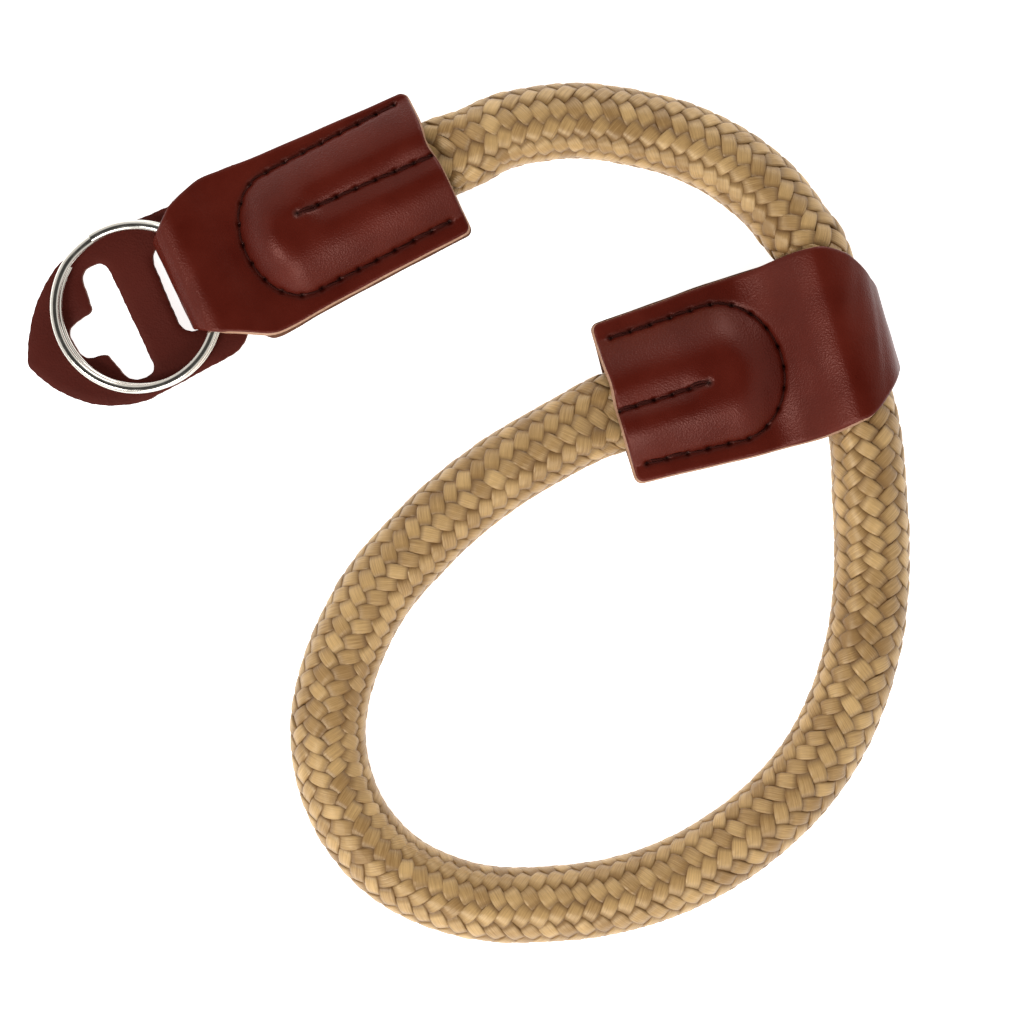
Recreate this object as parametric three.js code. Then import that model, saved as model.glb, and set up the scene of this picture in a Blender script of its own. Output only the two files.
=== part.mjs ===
// Camera wrist strap: a braided rope loop, two folded leather tabs, a split ring and a leather ring guard.
// Millimetres, +Z up. The strap lies on the plane z = 0, seen from above with +X to the right.
import * as THREE from "three";

// Driving sizes
const ROPE_DIAMETER = 11;
const LEATHER = 1.5;
const GAP = 0.3;

// The rope is pressed flat where a tab is sewn over its end.
const POCKET_HALF_WIDTH = 5.9;
const POCKET_HALF_HEIGHT = 4.1;
const POCKET_ROPE_HEIGHT = LEATHER + GAP + POCKET_HALF_HEIGHT;
const PRESS_LENGTH = 8;
const ROPE_SIDES = 12;
const ROPE_STEPS = 80;
const ROPE_ROUND = ROPE_DIAMETER / 2;

// Split ring: two stacked turns of flattened wire
const RING_DIAMETER = 25;
const WIRE_WIDTH = 1.35;
const WIRE_HEIGHT = 1.12;
const WIRE_CHAMFER = 0.3;
const TURN_GAP = 0.08;
const TURN_PITCH = WIRE_HEIGHT + TURN_GAP;
const CROSSING_START_DEG = 123;
const CROSSING_DEG = 27;
const COIL_STEP_DEG = 7;

// Leather tabs: fineness of the folded sheets, how far they stand out over the rope and the depth of the sewn
// centre line. The lower layer bulges further, so that the plane presses it flat.
const TAB_COLUMNS = 16;
const LAYER_STEPS = 18;
const FOLD_STEPS = 10;
const SEWN_DOME = POCKET_HALF_HEIGHT + GAP / 2;
const RESTING_DOME = 4.8;
const DOME_RAMP = 7.5;
const GROOVE_DEPTH = 1.2;
const GROOVE_SPREAD = 1.5;
const GROOVE_FADE = 4;
const ROPE_GROOVE_DEPTH = 1.7;
const SEWN_OPEN = (LEATHER + GAP) / 2;

// Each tab is one strip folded in half. Its own frame starts at the middle of the rope end, with x towards
// the fold. A section gives the height of the middle plane between the two layers, half the distance
// between the middles of the layers, and half the strip's width.
const RING_FOLD = 3.65;
const RING_TAB = {
  mouth: { x: -4.1, y: 50.6 },
  headingDeg: 205.6,
  layerShift: 0.6,
  waist: 6.9,
  flare: 3,
  slotLength: 6,
  seam: { halfWidth: 9.25, straight: 23.9, apex: 30.6, side: -0.4 },
  groove: { side: -1.5, end: 21 },
  ropeEnd: 24.5,
  ropeSide: -0.4,
  sections: [
    { along: 0, middle: 5.9, open: SEWN_OPEN, half: 11.2 },
    { along: 12, middle: 5.9, open: SEWN_OPEN, half: 11.6 },
    { along: 25, middle: 5.9, open: SEWN_OPEN, half: 12.2 },
    { along: 29, middle: 5.4, open: 1.1, half: 12.5 },
    { along: 32.5, middle: 4.65, open: 2.3, half: 12.4 },
    { along: 35.3, middle: 4.45, open: 3.6, half: 11.3 },
    { along: 38.1, middle: LEATHER / 2 + RING_FOLD, open: RING_FOLD, half: 10 },
  ],
};
const ROPE_FOLD = ROPE_ROUND + GAP + LEATHER / 2;
const SLIDER_TAB = {
  mouth: { x: 20.9, y: 15.4 },
  headingDeg: 16.4,
  layerShift: 0.2,
  waist: 6.4,
  flare: 1.4,
  slotLength: 0,
  seam: { halfWidth: 9.8, straight: 16.6, apex: 25.2, side: 0 },
  groove: { side: -0.9, end: 14 },
  ropeEnd: 18,
  ropeSide: -0.9,
  sections: [
    { along: 0, middle: 5.9, open: SEWN_OPEN, half: 11.9 },
    { along: 9, middle: 5.9, open: SEWN_OPEN, half: 12.4 },
    { along: 18, middle: 5.9, open: SEWN_OPEN, half: 12.9 },
    { along: 25.2, middle: 6.6, open: 1.2, half: 13.1 },
    { along: 28.3, middle: 7, open: 3.9, half: 13.2 },
    { along: 31, middle: 7.25, open: 6.05, half: 13.1 },
    { along: 33.85, middle: LEATHER / 2 + ROPE_FOLD, open: ROPE_FOLD, half: 12.8 },
  ],
};

// Rope route between the two pockets, chosen by eye along the loop: the rope's middle seen from above, and its
// lift off the plane
const ROPE_ROUTE = [
  { x: 0.4, y: 52.8, lift: 0.25 },
  { x: 4.8, y: 54.9, lift: 0.03 },
  { x: 11.1, y: 56.2, lift: 0.02 },
  { x: 16.9, y: 56.5, lift: 0 },
  { x: 23.4, y: 55.6, lift: 0.02 },
  { x: 30.8, y: 53.7, lift: 0.1 },
  { x: 37.6, y: 50.4, lift: 0.4 },
  { x: 43.4, y: 45.7, lift: 1.1 },
  { x: 47.4, y: 40.6, lift: 1.7 },
  { x: 49.5, y: 37.9, lift: 1.8 },
  { x: 51.5, y: 31.2, lift: 1.8 },
  { x: 55.3, y: 18.4, lift: 1.8 },
  { x: 57, y: 12, lift: 1.8 },
  { x: 57.9, y: 1.8, lift: 0.9 },
  { x: 58.3, y: -5.4, lift: 0.15 },
  { x: 57.9, y: -14.1, lift: 0.02 },
  { x: 56.4, y: -22, lift: 0 },
  { x: 53.8, y: -29.4, lift: 0 },
  { x: 49.6, y: -36.8, lift: 0 },
  { x: 43.9, y: -43.2, lift: 0 },
  { x: 37.3, y: -48.4, lift: 0 },
  { x: 29.3, y: -52.7, lift: 0 },
  { x: 20.7, y: -55.4, lift: 0 },
  { x: 11.8, y: -56.5, lift: 0 },
  { x: 3.2, y: -56.5, lift: 0 },
  { x: -4, y: -54.7, lift: 0 },
  { x: -10.7, y: -51.2, lift: 0 },
  { x: -16, y: -45.5, lift: 0 },
  { x: -19.2, y: -38.7, lift: 0 },
  { x: -20.2, y: -31.4, lift: 0 },
  { x: -19.1, y: -24.3, lift: 0 },
  { x: -16.5, y: -17.4, lift: 0 },
  { x: -12.6, y: -10.6, lift: 0 },
  { x: -7.5, y: -4.8, lift: 0 },
  { x: -1.9, y: 0.6, lift: 0.01 },
  { x: 4.9, y: 5.8, lift: 0.02 },
  { x: 11.3, y: 9.6, lift: 0.1 },
  { x: 17.2, y: 12.9, lift: 0.3 },
];

// Ring guard, in a frame at the ring tab's fold: x runs away from the tab along the sloping guard.
const GUARD = {
  turnDeg: -2.6,
  side: 1,
  upperSide: -12.3,
  lowerSide: 11.6,
  tip: 23.3,
  tipLength: 15.2,
  tipSide: 1.6,
  hiddenEnd: -7.6,
  hiddenCorner: 4.5,
  slot: { near: -3.5, far: 1.95, side: -1, half: 7.9, corner: 0.9, farCorner: 3 },
  bar: { near: 7.2, far: 11.8, half: 8.65, corner: 1.9 },
  lobe: { far: 16.8, half: 3.2, corner: 2 },
};
const RING_FROM_FOLD = 5.95;
const RING_SIDE = -0.15;
const GUARD_LIFT = LEATHER + GAP;
const CURVE_SEGMENTS = 8;
const ROUND_PULL = 0.55;

const ropeMaterial = new THREE.MeshStandardMaterial({ color: 0xb0905f, roughness: 0.6, metalness: 0 });
const leatherMaterial = new THREE.MeshStandardMaterial({ color: 0x3a1d14, roughness: 0.5, metalness: 0 });
const steelMaterial = new THREE.MeshStandardMaterial({ color: 0xb9babd, roughness: 0.25, metalness: 1 });

const degrees = THREE.MathUtils.degToRad;
const { clamp, lerp, smoothstep } = THREE.MathUtils;
const UPWARDS = new THREE.Vector3(0, 0, 1);

function foldCentre(tab) {
  return tab.sections.at(-1).along;
}

function foldEdge(tab) {
  return foldCentre(tab) + tab.sections.at(-1).open + LEATHER / 2;
}

// A closed solid from triangles that share their vertices
function solidGeometry(points, triangles) {
  const geometry = new THREE.BufferGeometry().setFromPoints(points);
  geometry.setIndex(triangles);
  geometry.computeVertexNormals();
  return geometry;
}

// Joins neighbouring rows of equally many points. The rows run so that each face points away from the solid.
function joinRows(triangles, first, second, count) {
  for (let i = 0; i + 1 < count; i += 1) {
    const [a, b, c, d] = [first(i), first(i + 1), second(i + 1), second(i)];
    triangles.push(a, b, c, a, c, d);
  }
}

// A sheet of even thickness around a grid of points on its middle surface
function sheetGeometry(grid) {
  const rows = grid.length;
  const columns = grid[0].length;
  const outer = [];
  const inner = [];
  for (let i = 0; i < rows; i += 1) {
    for (let j = 0; j < columns; j += 1) {
      const alongStart = grid[Math.max(i - 1, 0)][j];
      const alongEnd = grid[Math.min(i + 1, rows - 1)][j];
      const acrossStart = grid[i][Math.max(j - 1, 0)];
      const acrossEnd = grid[i][Math.min(j + 1, columns - 1)];
      const along = alongEnd.clone().sub(alongStart);
      const across = acrossEnd.clone().sub(acrossStart);
      const normal = along.cross(across).normalize();
      outer.push(grid[i][j].clone().addScaledVector(normal, LEATHER / 2));
      inner.push(grid[i][j].clone().addScaledVector(normal, -LEATHER / 2));
    }
  }
  const back = rows * columns;
  const triangles = [];
  for (let i = 0; i + 1 < rows; i += 1) {
    const here = i * columns;
    const next = here + columns;
    joinRows(triangles, (j) => next + j, (j) => here + j, columns);
    joinRows(triangles, (j) => back + here + j, (j) => back + next + j, columns);
  }
  const last = back - columns;
  const firstColumn = (i) => i * columns;
  const lastColumn = (i) => i * columns + columns - 1;
  joinRows(triangles, (j) => j, (j) => back + j, columns);
  joinRows(triangles, (j) => back + last + j, (j) => last + j, columns);
  joinRows(triangles, (i) => back + firstColumn(i), firstColumn, rows);
  joinRows(triangles, lastColumn, (i) => back + lastColumn(i), rows);
  return solidGeometry([...outer, ...inner], triangles);
}

// How far a place lies inside the sewn U line, whose nose is half an ellipse
function depthInSeam(seam, along, side) {
  const past = Math.max(along - seam.straight, 0) / (seam.apex - seam.straight);
  const sideways = (side - seam.side) / seam.halfWidth;
  return (1 - Math.hypot(past, sideways)) * seam.halfWidth;
}

function grooveShare(groove, along, side) {
  const across = Math.exp(-((side - groove.side) ** 2) / (2 * GROOVE_SPREAD ** 2));
  return across * (1 - smoothstep(along, groove.end - GROOVE_FADE, groove.end));
}

// How far the leather stands out over the rope end, on the upper layer (1) or the lower one (-1)
function domeHeight(tab, along, side, layer) {
  const inside = clamp(depthInSeam(tab.seam, along, side) / DOME_RAMP, 0, 1);
  const dome = (layer > 0 ? SEWN_DOME : RESTING_DOME) * Math.sin((inside * Math.PI) / 2);
  const groove = layer > 0 ? GROOVE_DEPTH * grooveShare(tab.groove, along, side) : 0;
  return dome - Math.min(groove, dome);
}

// The stations of a folded strip: the upper layer from rope end to fold, the fold, and the lower layer back
function stripStations(tab) {
  const positions = tab.sections.map((row) => row.along);
  const values = tab.sections.flatMap((row) => [row.middle, row.open, row.half]);
  const reader = new THREE.CubicInterpolant(positions, values, 3);
  const end = foldCentre(tab);
  const { middle: foldMiddle, open: foldRadius, half: shoulder } = tab.sections.at(-1);
  const layerStation = (along, layer) => {
    const [middle, open, half] = reader.evaluate(along);
    const narrowed = tab.slotLength > 0 && layer < 0 ? smoothstep(along, end - tab.slotLength, end) : 0;
    return { along, height: middle + layer * open, half: lerp(half, tab.waist, narrowed), layer };
  };
  const stations = [];
  for (let i = 0; i <= LAYER_STEPS; i += 1) stations.push(layerStation((end * i) / LAYER_STEPS, 1));
  for (let i = 1; i < FOLD_STEPS; i += 1) {
    const angle = Math.PI * (0.5 - i / FOLD_STEPS);
    const turned = Math.abs(angle) / (Math.PI / 2);
    const straight = tab.slotLength > 0 && angle < 0;
    stations.push({
      along: end + foldRadius * Math.cos(angle),
      height: foldMiddle + foldRadius * Math.sin(angle),
      half: straight ? tab.waist : lerp(tab.waist, shoulder, turned ** tab.flare),
      layer: Math.sin(angle),
    });
  }
  for (let i = LAYER_STEPS; i >= 0; i -= 1) stations.push(layerStation((end * i) / LAYER_STEPS, -1));
  return stations;
}

function tabGeometry(tab) {
  const grid = stripStations(tab).map((station) => {
    const row = [];
    const shift = (tab.layerShift * (1 - station.layer)) / 2;
    for (let j = 0; j <= TAB_COLUMNS; j += 1) {
      const side = station.half * ((2 * j) / TAB_COLUMNS - 1);
      const dome = domeHeight(tab, station.along, side, station.layer);
      const height = station.height + Math.sign(station.layer) * dome;
      row.push(new THREE.Vector3(station.along, side + shift, Math.max(height, LEATHER / 2)));
    }
    return row;
  });
  return sheetGeometry(grid);
}

// A place in a tab's own frame as a point of the whole strap
function tabPoint(tab, along, side, height) {
  const place = new THREE.Vector3(along, side, height).applyAxisAngle(UPWARDS, degrees(tab.headingDeg));
  return place.add(new THREE.Vector3(tab.mouth.x, tab.mouth.y, 0));
}

// Presses the rope's end flat and gives it the groove of the centre seam
function pressRope(position, tab) {
  const angle = degrees(tab.headingDeg);
  const mouth = new THREE.Vector3(tab.mouth.x, tab.mouth.y, 0);
  const point = new THREE.Vector3();
  for (let i = 0; i < position.count; i += 1) {
    point.fromBufferAttribute(position, i).sub(mouth).applyAxisAngle(UPWARDS, -angle);
    const inReach = point.x > -PRESS_LENGTH && point.x < tab.ropeEnd + 1 && Math.abs(point.y) < ROPE_DIAMETER;
    if (!inReach) continue;
    const pressed = smoothstep(point.x, -PRESS_LENGTH, 0);
    const sideways = point.y - tab.ropeSide;
    const upwards = point.z - POCKET_ROPE_HEIGHT;
    const groove = upwards > 0 ? ROPE_GROOVE_DEPTH * grooveShare(tab.groove, point.x, point.y) : 0;
    point.y = tab.ropeSide + sideways * lerp(1, POCKET_HALF_WIDTH / ROPE_ROUND, pressed);
    point.z = POCKET_ROPE_HEIGHT + upwards * lerp(1, POCKET_HALF_HEIGHT / ROPE_ROUND, pressed) - groove * pressed;
    point.applyAxisAngle(UPWARDS, angle).add(mouth);
    position.setXYZ(i, point.x, point.y, point.z);
  }
}

function pocketPoint(tab, share) {
  return tabPoint(tab, tab.ropeEnd * share, tab.ropeSide, POCKET_ROPE_HEIGHT);
}

function ropeGeometry() {
  const free = ROPE_ROUTE.map(({ x, y, lift }) => new THREE.Vector3(x, y, ROPE_ROUND + lift));
  const shares = [1, 0.5, 0];
  const route = [
    ...shares.map((share) => pocketPoint(RING_TAB, share)),
    ...free,
    ...shares.toReversed().map((share) => pocketPoint(SLIDER_TAB, share)),
  ];
  const section = new THREE.Shape();
  section.absarc(0, 0, ROPE_ROUND, 0, 2 * Math.PI);
  const geometry = new THREE.ExtrudeGeometry(new THREE.Shape(section.getSpacedPoints(ROPE_SIDES).slice(0, -1)), {
    steps: ROPE_STEPS,
    extrudePath: new THREE.CatmullRomCurve3(route, false, "centripetal"),
  });
  pressRope(geometry.getAttribute("position"), RING_TAB);
  pressRope(geometry.getAttribute("position"), SLIDER_TAB);
  return geometry;
}

// The wire's section: a rectangle with its corners cut off, as distances outwards and upwards
function wireSection() {
  const outwards = WIRE_WIDTH / 2;
  const upwards = WIRE_HEIGHT / 2;
  const cut = WIRE_CHAMFER;
  return [
    [outwards, cut - upwards],
    [outwards, upwards - cut],
    [outwards - cut, upwards],
    [cut - outwards, upwards],
    [-outwards, upwards - cut],
    [-outwards, cut - upwards],
    [cut - outwards, -upwards],
    [outwards - cut, -upwards],
  ];
}

// Two turns that share one crossing, where the wire climbs from the lower turn to the upper one
function coilGeometry() {
  const section = wireSection();
  const firstTurn = 360 - CROSSING_DEG;
  const steps = Math.round((firstTurn + 360) / COIL_STEP_DEG);
  const radius = (RING_DIAMETER - WIRE_WIDTH) / 2;
  const points = [];
  const triangles = [];
  const sides = section.length;
  for (let k = 0; k <= steps; k += 1) {
    const turnedDeg = ((firstTurn + 360) * k) / steps;
    const climb = TURN_PITCH * (smoothstep(turnedDeg, firstTurn, 360) - 0.5);
    const angle = degrees(CROSSING_START_DEG + CROSSING_DEG + turnedDeg);
    for (const [outwards, upwards] of section) {
      const reach = radius + outwards;
      points.push(new THREE.Vector3(reach * Math.cos(angle), reach * Math.sin(angle), climb + upwards));
    }
  }
  for (let k = 0; k < steps; k += 1) {
    const ring = (base) => (i) => base + (i % sides);
    joinRows(triangles, ring((k + 1) * sides), ring(k * sides), sides + 1);
  }
  const last = steps * sides;
  for (let i = 1; i + 1 < sides; i += 1) triangles.push(0, i, i + 1, last, last + i + 1, last + i);
  return solidGeometry(points, triangles);
}

// A closed outline through corners, each rounded by its own radius
function roundedOutline(path, corners) {
  const count = corners.length;
  corners.forEach(({ x, y, radius }, i) => {
    const corner = new THREE.Vector2(x, y);
    const before = corners[(i + count - 1) % count];
    const after = corners[(i + 1) % count];
    const start = new THREE.Vector2(before.x, before.y).sub(corner).setLength(radius).add(corner);
    const end = new THREE.Vector2(after.x, after.y).sub(corner).setLength(radius).add(corner);
    if (i === 0) path.moveTo(start.x, start.y);
    else path.lineTo(start.x, start.y);
    path.quadraticCurveTo(corner.x, corner.y, end.x, end.y);
  });
  path.closePath();
  return path;
}

function guardOutline() {
  const { upperSide, lowerSide, tip, tipLength, tipSide, hiddenEnd, hiddenCorner } = GUARD;
  const shoulder = tip - tipLength;
  const reach = lerp(shoulder, tip, ROUND_PULL);
  const upperPull = lerp(tipSide, upperSide, ROUND_PULL);
  const lowerPull = lerp(tipSide, lowerSide, ROUND_PULL);
  const hidden = hiddenEnd + hiddenCorner;
  const outline = new THREE.Shape();
  outline.moveTo(hidden, upperSide);
  outline.lineTo(shoulder, upperSide);
  outline.bezierCurveTo(reach, upperSide, tip, upperPull, tip, tipSide);
  outline.bezierCurveTo(tip, lowerPull, reach, lowerSide, shoulder, lowerSide);
  outline.lineTo(hidden, lowerSide);
  outline.absarc(hidden, lowerSide - hiddenCorner, hiddenCorner, Math.PI / 2, Math.PI);
  outline.absarc(hidden, upperSide + hiddenCorner, hiddenCorner, Math.PI, Math.PI * 1.5);
  return outline;
}

function slotOutline() {
  const { near, far, side, half, corner, farCorner } = GUARD.slot;
  return roundedOutline(new THREE.Path(), [
    { x: near, y: side - half, radius: corner },
    { x: near, y: side + half, radius: corner },
    { x: far, y: side + half, radius: farCorner },
    { x: far, y: side - half, radius: farCorner },
  ]);
}

function lugOutline() {
  const { bar, lobe } = GUARD;
  return roundedOutline(new THREE.Path(), [
    { x: bar.near, y: -bar.half, radius: bar.corner },
    { x: bar.near, y: bar.half, radius: bar.corner },
    { x: bar.far, y: bar.half, radius: bar.corner },
    { x: bar.far, y: lobe.half, radius: lobe.corner / 2 },
    { x: lobe.far, y: lobe.half, radius: lobe.corner },
    { x: lobe.far, y: -lobe.half, radius: lobe.corner },
    { x: bar.far, y: -lobe.half, radius: lobe.corner / 2 },
    { x: bar.far, y: -bar.half, radius: bar.corner },
  ]);
}

function guardGeometry() {
  const outline = guardOutline();
  outline.holes.push(slotOutline(), lugOutline());
  return new THREE.ExtrudeGeometry(outline, {
    depth: LEATHER,
    bevelEnabled: false,
    curveSegments: CURVE_SEGMENTS,
  });
}

function named(name, geometry, material) {
  const mesh = new THREE.Mesh(geometry, material);
  mesh.name = name;
  return mesh;
}

function tabGroup(tab) {
  const group = new THREE.Group();
  group.position.set(tab.mouth.x, tab.mouth.y, 0);
  group.rotation.z = degrees(tab.headingDeg);
  return group;
}

// The guard and the ring slope together from the fold down to the guard's tip on the plane.
function ringGroup() {
  const group = new THREE.Group();
  group.position.set(foldEdge(RING_TAB), 0, GUARD_LIFT);
  group.rotation.y = Math.asin(GUARD_LIFT / GUARD.tip);
  const guard = named("ring_guard", guardGeometry(), leatherMaterial);
  guard.position.y = GUARD.side;
  guard.rotation.z = degrees(GUARD.turnDeg);
  const ring = named("split_ring", coilGeometry(), steelMaterial);
  const halfStack = (TURN_PITCH + WIRE_HEIGHT) / 2;
  ring.position.set(RING_FROM_FOLD, RING_SIDE, LEATHER + GAP + halfStack);
  ring.rotation.z = -degrees(RING_TAB.headingDeg);
  group.add(guard, ring);
  return group;
}

const strap = new THREE.Group();
const ringTab = tabGroup(RING_TAB);
ringTab.add(named("ring_tab", tabGeometry(RING_TAB), leatherMaterial), ringGroup());
const sliderTab = tabGroup(SLIDER_TAB);
sliderTab.add(named("slider_tab", tabGeometry(SLIDER_TAB), leatherMaterial));
strap.add(named("braided_rope", ropeGeometry(), ropeMaterial), ringTab, sliderTab);

export default strap;
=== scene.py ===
"""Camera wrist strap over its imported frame: braided rope, sewn leather tabs, split ring and ring guard."""

import math
from types import SimpleNamespace as Group

import bpy
import numpy as np
from mathutils import Matrix, Vector
from mathutils.geometry import delaunay_2d_cdt


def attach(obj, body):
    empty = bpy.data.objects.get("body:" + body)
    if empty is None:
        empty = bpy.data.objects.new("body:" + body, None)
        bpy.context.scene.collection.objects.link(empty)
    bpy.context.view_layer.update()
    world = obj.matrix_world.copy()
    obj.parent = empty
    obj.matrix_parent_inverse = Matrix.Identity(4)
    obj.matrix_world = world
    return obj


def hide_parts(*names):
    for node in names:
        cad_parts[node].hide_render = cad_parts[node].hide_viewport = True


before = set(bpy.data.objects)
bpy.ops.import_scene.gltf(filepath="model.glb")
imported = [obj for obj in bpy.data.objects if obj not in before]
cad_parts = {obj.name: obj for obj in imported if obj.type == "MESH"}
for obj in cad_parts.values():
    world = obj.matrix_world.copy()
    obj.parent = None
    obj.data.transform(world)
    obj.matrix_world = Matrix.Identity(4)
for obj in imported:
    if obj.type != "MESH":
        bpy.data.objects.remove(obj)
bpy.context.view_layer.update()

# Shapes are worked out in millimetres and stored in metres.
MM = 0.001
UP = np.array([0, 0, 1.0])

# Sizes shared with the solids
ROPE_DIAMETER = 11.0
ROPE_ROUND = ROPE_DIAMETER / 2
LEATHER = 1.5
GAP = 0.3
SEWN_OPEN = (LEATHER + GAP) / 2
POCKET_HALF_WIDTH = 5.9
POCKET_HALF_HEIGHT = 4.1
POCKET_ROPE_HEIGHT = LEATHER + GAP + POCKET_HALF_HEIGHT
PRESS_LENGTH = 8.0
PRESS_PAST_END = 1.0
SEWN_DOME = POCKET_HALF_HEIGHT + GAP / 2
RESTING_DOME = 4.8
DOME_RAMP = 7.5
DOME_FILLET = 0.2
GROOVE_DEPTH = 1.2
GROOVE_SPREAD = 1.5
GROOVE_FADE = 4.0
ROPE_GROOVE_DEPTH = 1.7
RING_FOLD = 3.65
ROPE_FOLD = ROPE_ROUND + GAP + LEATHER / 2
RING_DIAMETER = 25.0
WIRE_WIDTH = 1.35
WIRE_HEIGHT = 1.12
TURN_PITCH = 1.2
CROSSING_START_DEG = 123.0
CROSSING_DEG = 27.0
RING_FROM_FOLD = 5.95
RING_SIDE = -0.15
GUARD_LIFT = LEATHER + GAP

# The tabs, each in its own frame with x from the rope end to the fold. A section holds the place along
# the tab, the height of the middle plane, half the distance between the layers and half the width.
RING_TAB = Group(
    mouth=(-4.1, 50.6),
    heading=205.6,
    layer_shift=0.25,
    sway=-0.75,
    fold_low=Group(drop=3.0, corner=0.9, round=0.0, under=6.15),
    fold_high=Group(drop=2.65, corner=1.3, round=0.0, under=6.95),
    slot=6.0,
    mouth_dent=Group(side=-2.7, depth=0.5),
    seam=Group(half=9.25, spread=0.0, straight=23.9, apex=30.6, side=-0.8, drift=0.037, start=2.4),
    groove=Group(side=-0.9, drift=-0.033, start=0.4, end=21.7),
    rope_end=24.5,
    rope_side=-0.4,
    bevel=Group(low=0.08, high=0.2, mouth=0.2),
    sections=(
        (0.0, 5.9, SEWN_OPEN, 11.2),
        (12.0, 5.9, SEWN_OPEN, 11.6),
        (25.0, 5.9, SEWN_OPEN, 12.2),
        (29.0, 5.57, 1.27, 12.5),
        (32.5, 4.77, 2.42, 12.4),
        (35.3, 4.3, 3.4, 11.3),
        (38.1, LEATHER / 2 + RING_FOLD, RING_FOLD, 10.0),
    ),
)
SLIDER_TAB = Group(
    mouth=(20.9, 15.4),
    heading=16.4,
    layer_shift=0.2,
    sway=0.58,
    fold_low=Group(drop=5.2, corner=1.5, round=0.0, under=0.0),
    fold_high=Group(drop=5.0, corner=1.5, round=13.85, under=0.0),
    slot=0.0,
    mouth_dent=Group(side=3.0, depth=0.25),
    seam=Group(half=9.2, spread=0.05, straight=16.6, apex=25.1, side=0.0, drift=-0.004, start=2.3),
    groove=Group(side=-1.15, drift=0.025, start=0.3, end=14.0),
    rope_end=18.0,
    rope_side=-0.9,
    bevel=Group(low=0.22, high=0.08, mouth=0.3),
    sections=(
        (0.0, 5.9, SEWN_OPEN, 11.9),
        (9.0, 5.9, SEWN_OPEN, 12.4),
        (18.0, 5.9, SEWN_OPEN, 12.9),
        (22.0, 6.0, 1.0, 13.0),
        (25.2, 6.7, 1.7, 13.1),
        (28.3, 7.05, 3.65, 13.2),
        (30.6, 7.08, 5.42, 13.15),
        (32.4, 7.18, 6.32, 12.95),
        (33.2, 7.28, 6.51, 12.85),
        (33.85, LEATHER / 2 + ROPE_FOLD, ROPE_FOLD, 12.8),
    ),
)
GUARD_TURN = -2.6
GUARD_SIDE = 1.0
GUARD_SLOPE_LENGTH = 23.3

# The guard's outline as straight lines and curves one after the other, by their control points
GUARD_OUTLINE = (
    ((-3.1, -12.6), (8.1, -12.6)),
    ((8.1, -12.6), (16.5, -12.6), (22.2, -5.2), (24.1, 0.3)),
    ((24.1, 0.3), (24.25, 0.72), (24.1, 1.0)),
    ((24.1, 1.0), (22.6, 5.0), (18.3, 11.6), (9.5, 12.0)),
    ((9.5, 12.0), (-3.1, 10.9)),
    ((-3.1, 10.9), (-7.6, 10.6), (-7.6, 6.6)),
    ((-7.6, 6.6), (-7.6, -7.8)),
    ((-7.6, -7.8), (-7.6, -12.6), (-3.1, -12.6)),
)

# Corners of the slots in the guard: place along the guard, place across it and rounding
STRIP_SLOT = (
    (-3.5, -8.4, 0.9),
    (-3.5, 5.6, 0.9),
    (1.55, 5.45, 2.6),
    (1.5, -7.8, 2.6),
)
LUG_SLOT = (
    (7.8, -9.1, 1.9),
    (7.1, 8.9, 1.8),
    (11.4, 8.7, 1.9),
    (12.9, 3.5, 0.7),
    (16.4, 3.0, 1.5),
    (17.2, -2.2, 2.0),
    (12.4, -3.0, 0.7),
    (12.0, -9.1, 2.0),
)

# The rope's route between the two tabs, in metres
ROUTE = (
    (0.0004, 0.0528, 0.00575), (0.0048, 0.0549, 0.00553), (0.0111, 0.0562, 0.00552),
    (0.0169, 0.0565, 0.0055), (0.0234, 0.0556, 0.00552), (0.0308, 0.0537, 0.0056),
    (0.0376, 0.0504, 0.0059), (0.0434, 0.0457, 0.0066), (0.0474, 0.0406, 0.0072),
    (0.0495, 0.0379, 0.0073), (0.0515, 0.0312, 0.0073), (0.0553, 0.0184, 0.0073),
    (0.057, 0.012, 0.0073), (0.0579, 0.0018, 0.0064), (0.0583, -0.0054, 0.00565),
    (0.0579, -0.0141, 0.00552), (0.0564, -0.022, 0.0055), (0.0538, -0.0294, 0.0055),
    (0.0496, -0.0368, 0.0055), (0.0439, -0.0432, 0.0055), (0.0373, -0.0484, 0.0055),
    (0.0293, -0.0527, 0.0055), (0.0207, -0.0554, 0.0055), (0.0118, -0.0565, 0.0055),
    (0.0032, -0.0565, 0.0055), (-0.004, -0.0547, 0.0055), (-0.0107, -0.0512, 0.0055),
    (-0.016, -0.0455, 0.0055), (-0.0192, -0.0387, 0.0055), (-0.0202, -0.0314, 0.0055),
    (-0.0191, -0.0243, 0.0055), (-0.0165, -0.0174, 0.0055), (-0.0126, -0.0106, 0.0055),
    (-0.0075, -0.0048, 0.0055), (-0.0019, 0.0006, 0.00551), (0.0049, 0.0058, 0.00552),
    (0.0113, 0.0096, 0.0056), (0.0172, 0.0129, 0.0058),
)
ROUTE_FINENESS = 24
ROUTE_STEP = 0.25
POCKET_SHARES = (1, 0.5, 0)

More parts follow.
